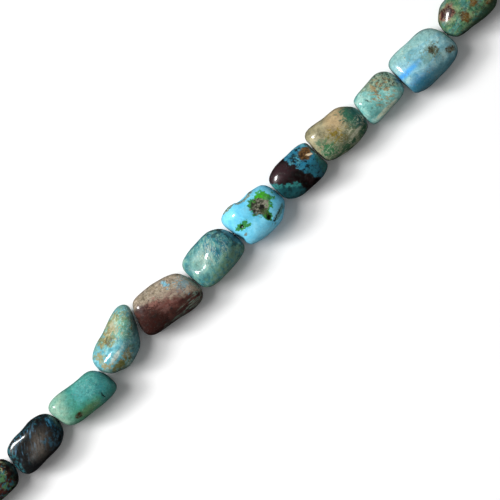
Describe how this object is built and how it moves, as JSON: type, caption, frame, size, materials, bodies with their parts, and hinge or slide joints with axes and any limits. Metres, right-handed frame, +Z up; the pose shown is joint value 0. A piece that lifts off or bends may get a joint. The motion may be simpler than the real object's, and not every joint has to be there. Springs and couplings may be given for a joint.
{
  "type": "chrysocolla bead strand",
  "caption": "Strand of polished, tumbled chrysocolla nugget beads, drilled end to end, on one knotted white thread laid straight.",
  "frame": {"origin": "middle of the strand's box in plan, on the surface that the beads rest on", "axes": "+X along the strand, +Z up, +Y across it to the left of the way to +X"},
  "size_m": [0.4002, 0.0146, 0.0089],
  "materials": {
    "turquoise_stone": "polished, mottled turquoise green",
    "teal_stone": "polished, blue-teal with pale wisps",
    "sky_stone": "polished, sky blue with brown matrix",
    "dark_stone": "polished, near black to maroon with blue-green veins",
    "green_stone": "polished, green with brown patches",
    "cream_stone": "polished, translucent cream with green",
    "thread": "white twisted nylon"
  },
  "bodies": {
    "root": {"bead_01": "turquoise_stone", "bead_02": "green_stone", "bead_03": "dark_stone", "bead_04": "teal_stone", "bead_05": "sky_stone", "bead_06": "dark_stone", "bead_07": "green_stone", "bead_08": "teal_stone", "bead_09": "dark_stone", "bead_10": "dark_stone", "bead_11": "turquoise_stone", "bead_12": "sky_stone", "bead_13": "dark_stone", "bead_14": "teal_stone", "bead_15": "sky_stone", "bead_16": "dark_stone", "bead_17": "cream_stone", "bead_18": "turquoise_stone", "bead_19": "sky_stone", "bead_20": "green_stone", "bead_21": "dark_stone", "bead_22": "teal_stone", "bead_23": "turquoise_stone", "bead_24": "green_stone", "bead_25": "dark_stone", "bead_26": "sky_stone", "bead_27": "turquoise_stone", "bead_28": "cream_stone", "bead_29": "teal_stone", "thread": "thread"}
  },
  "joints": []
}
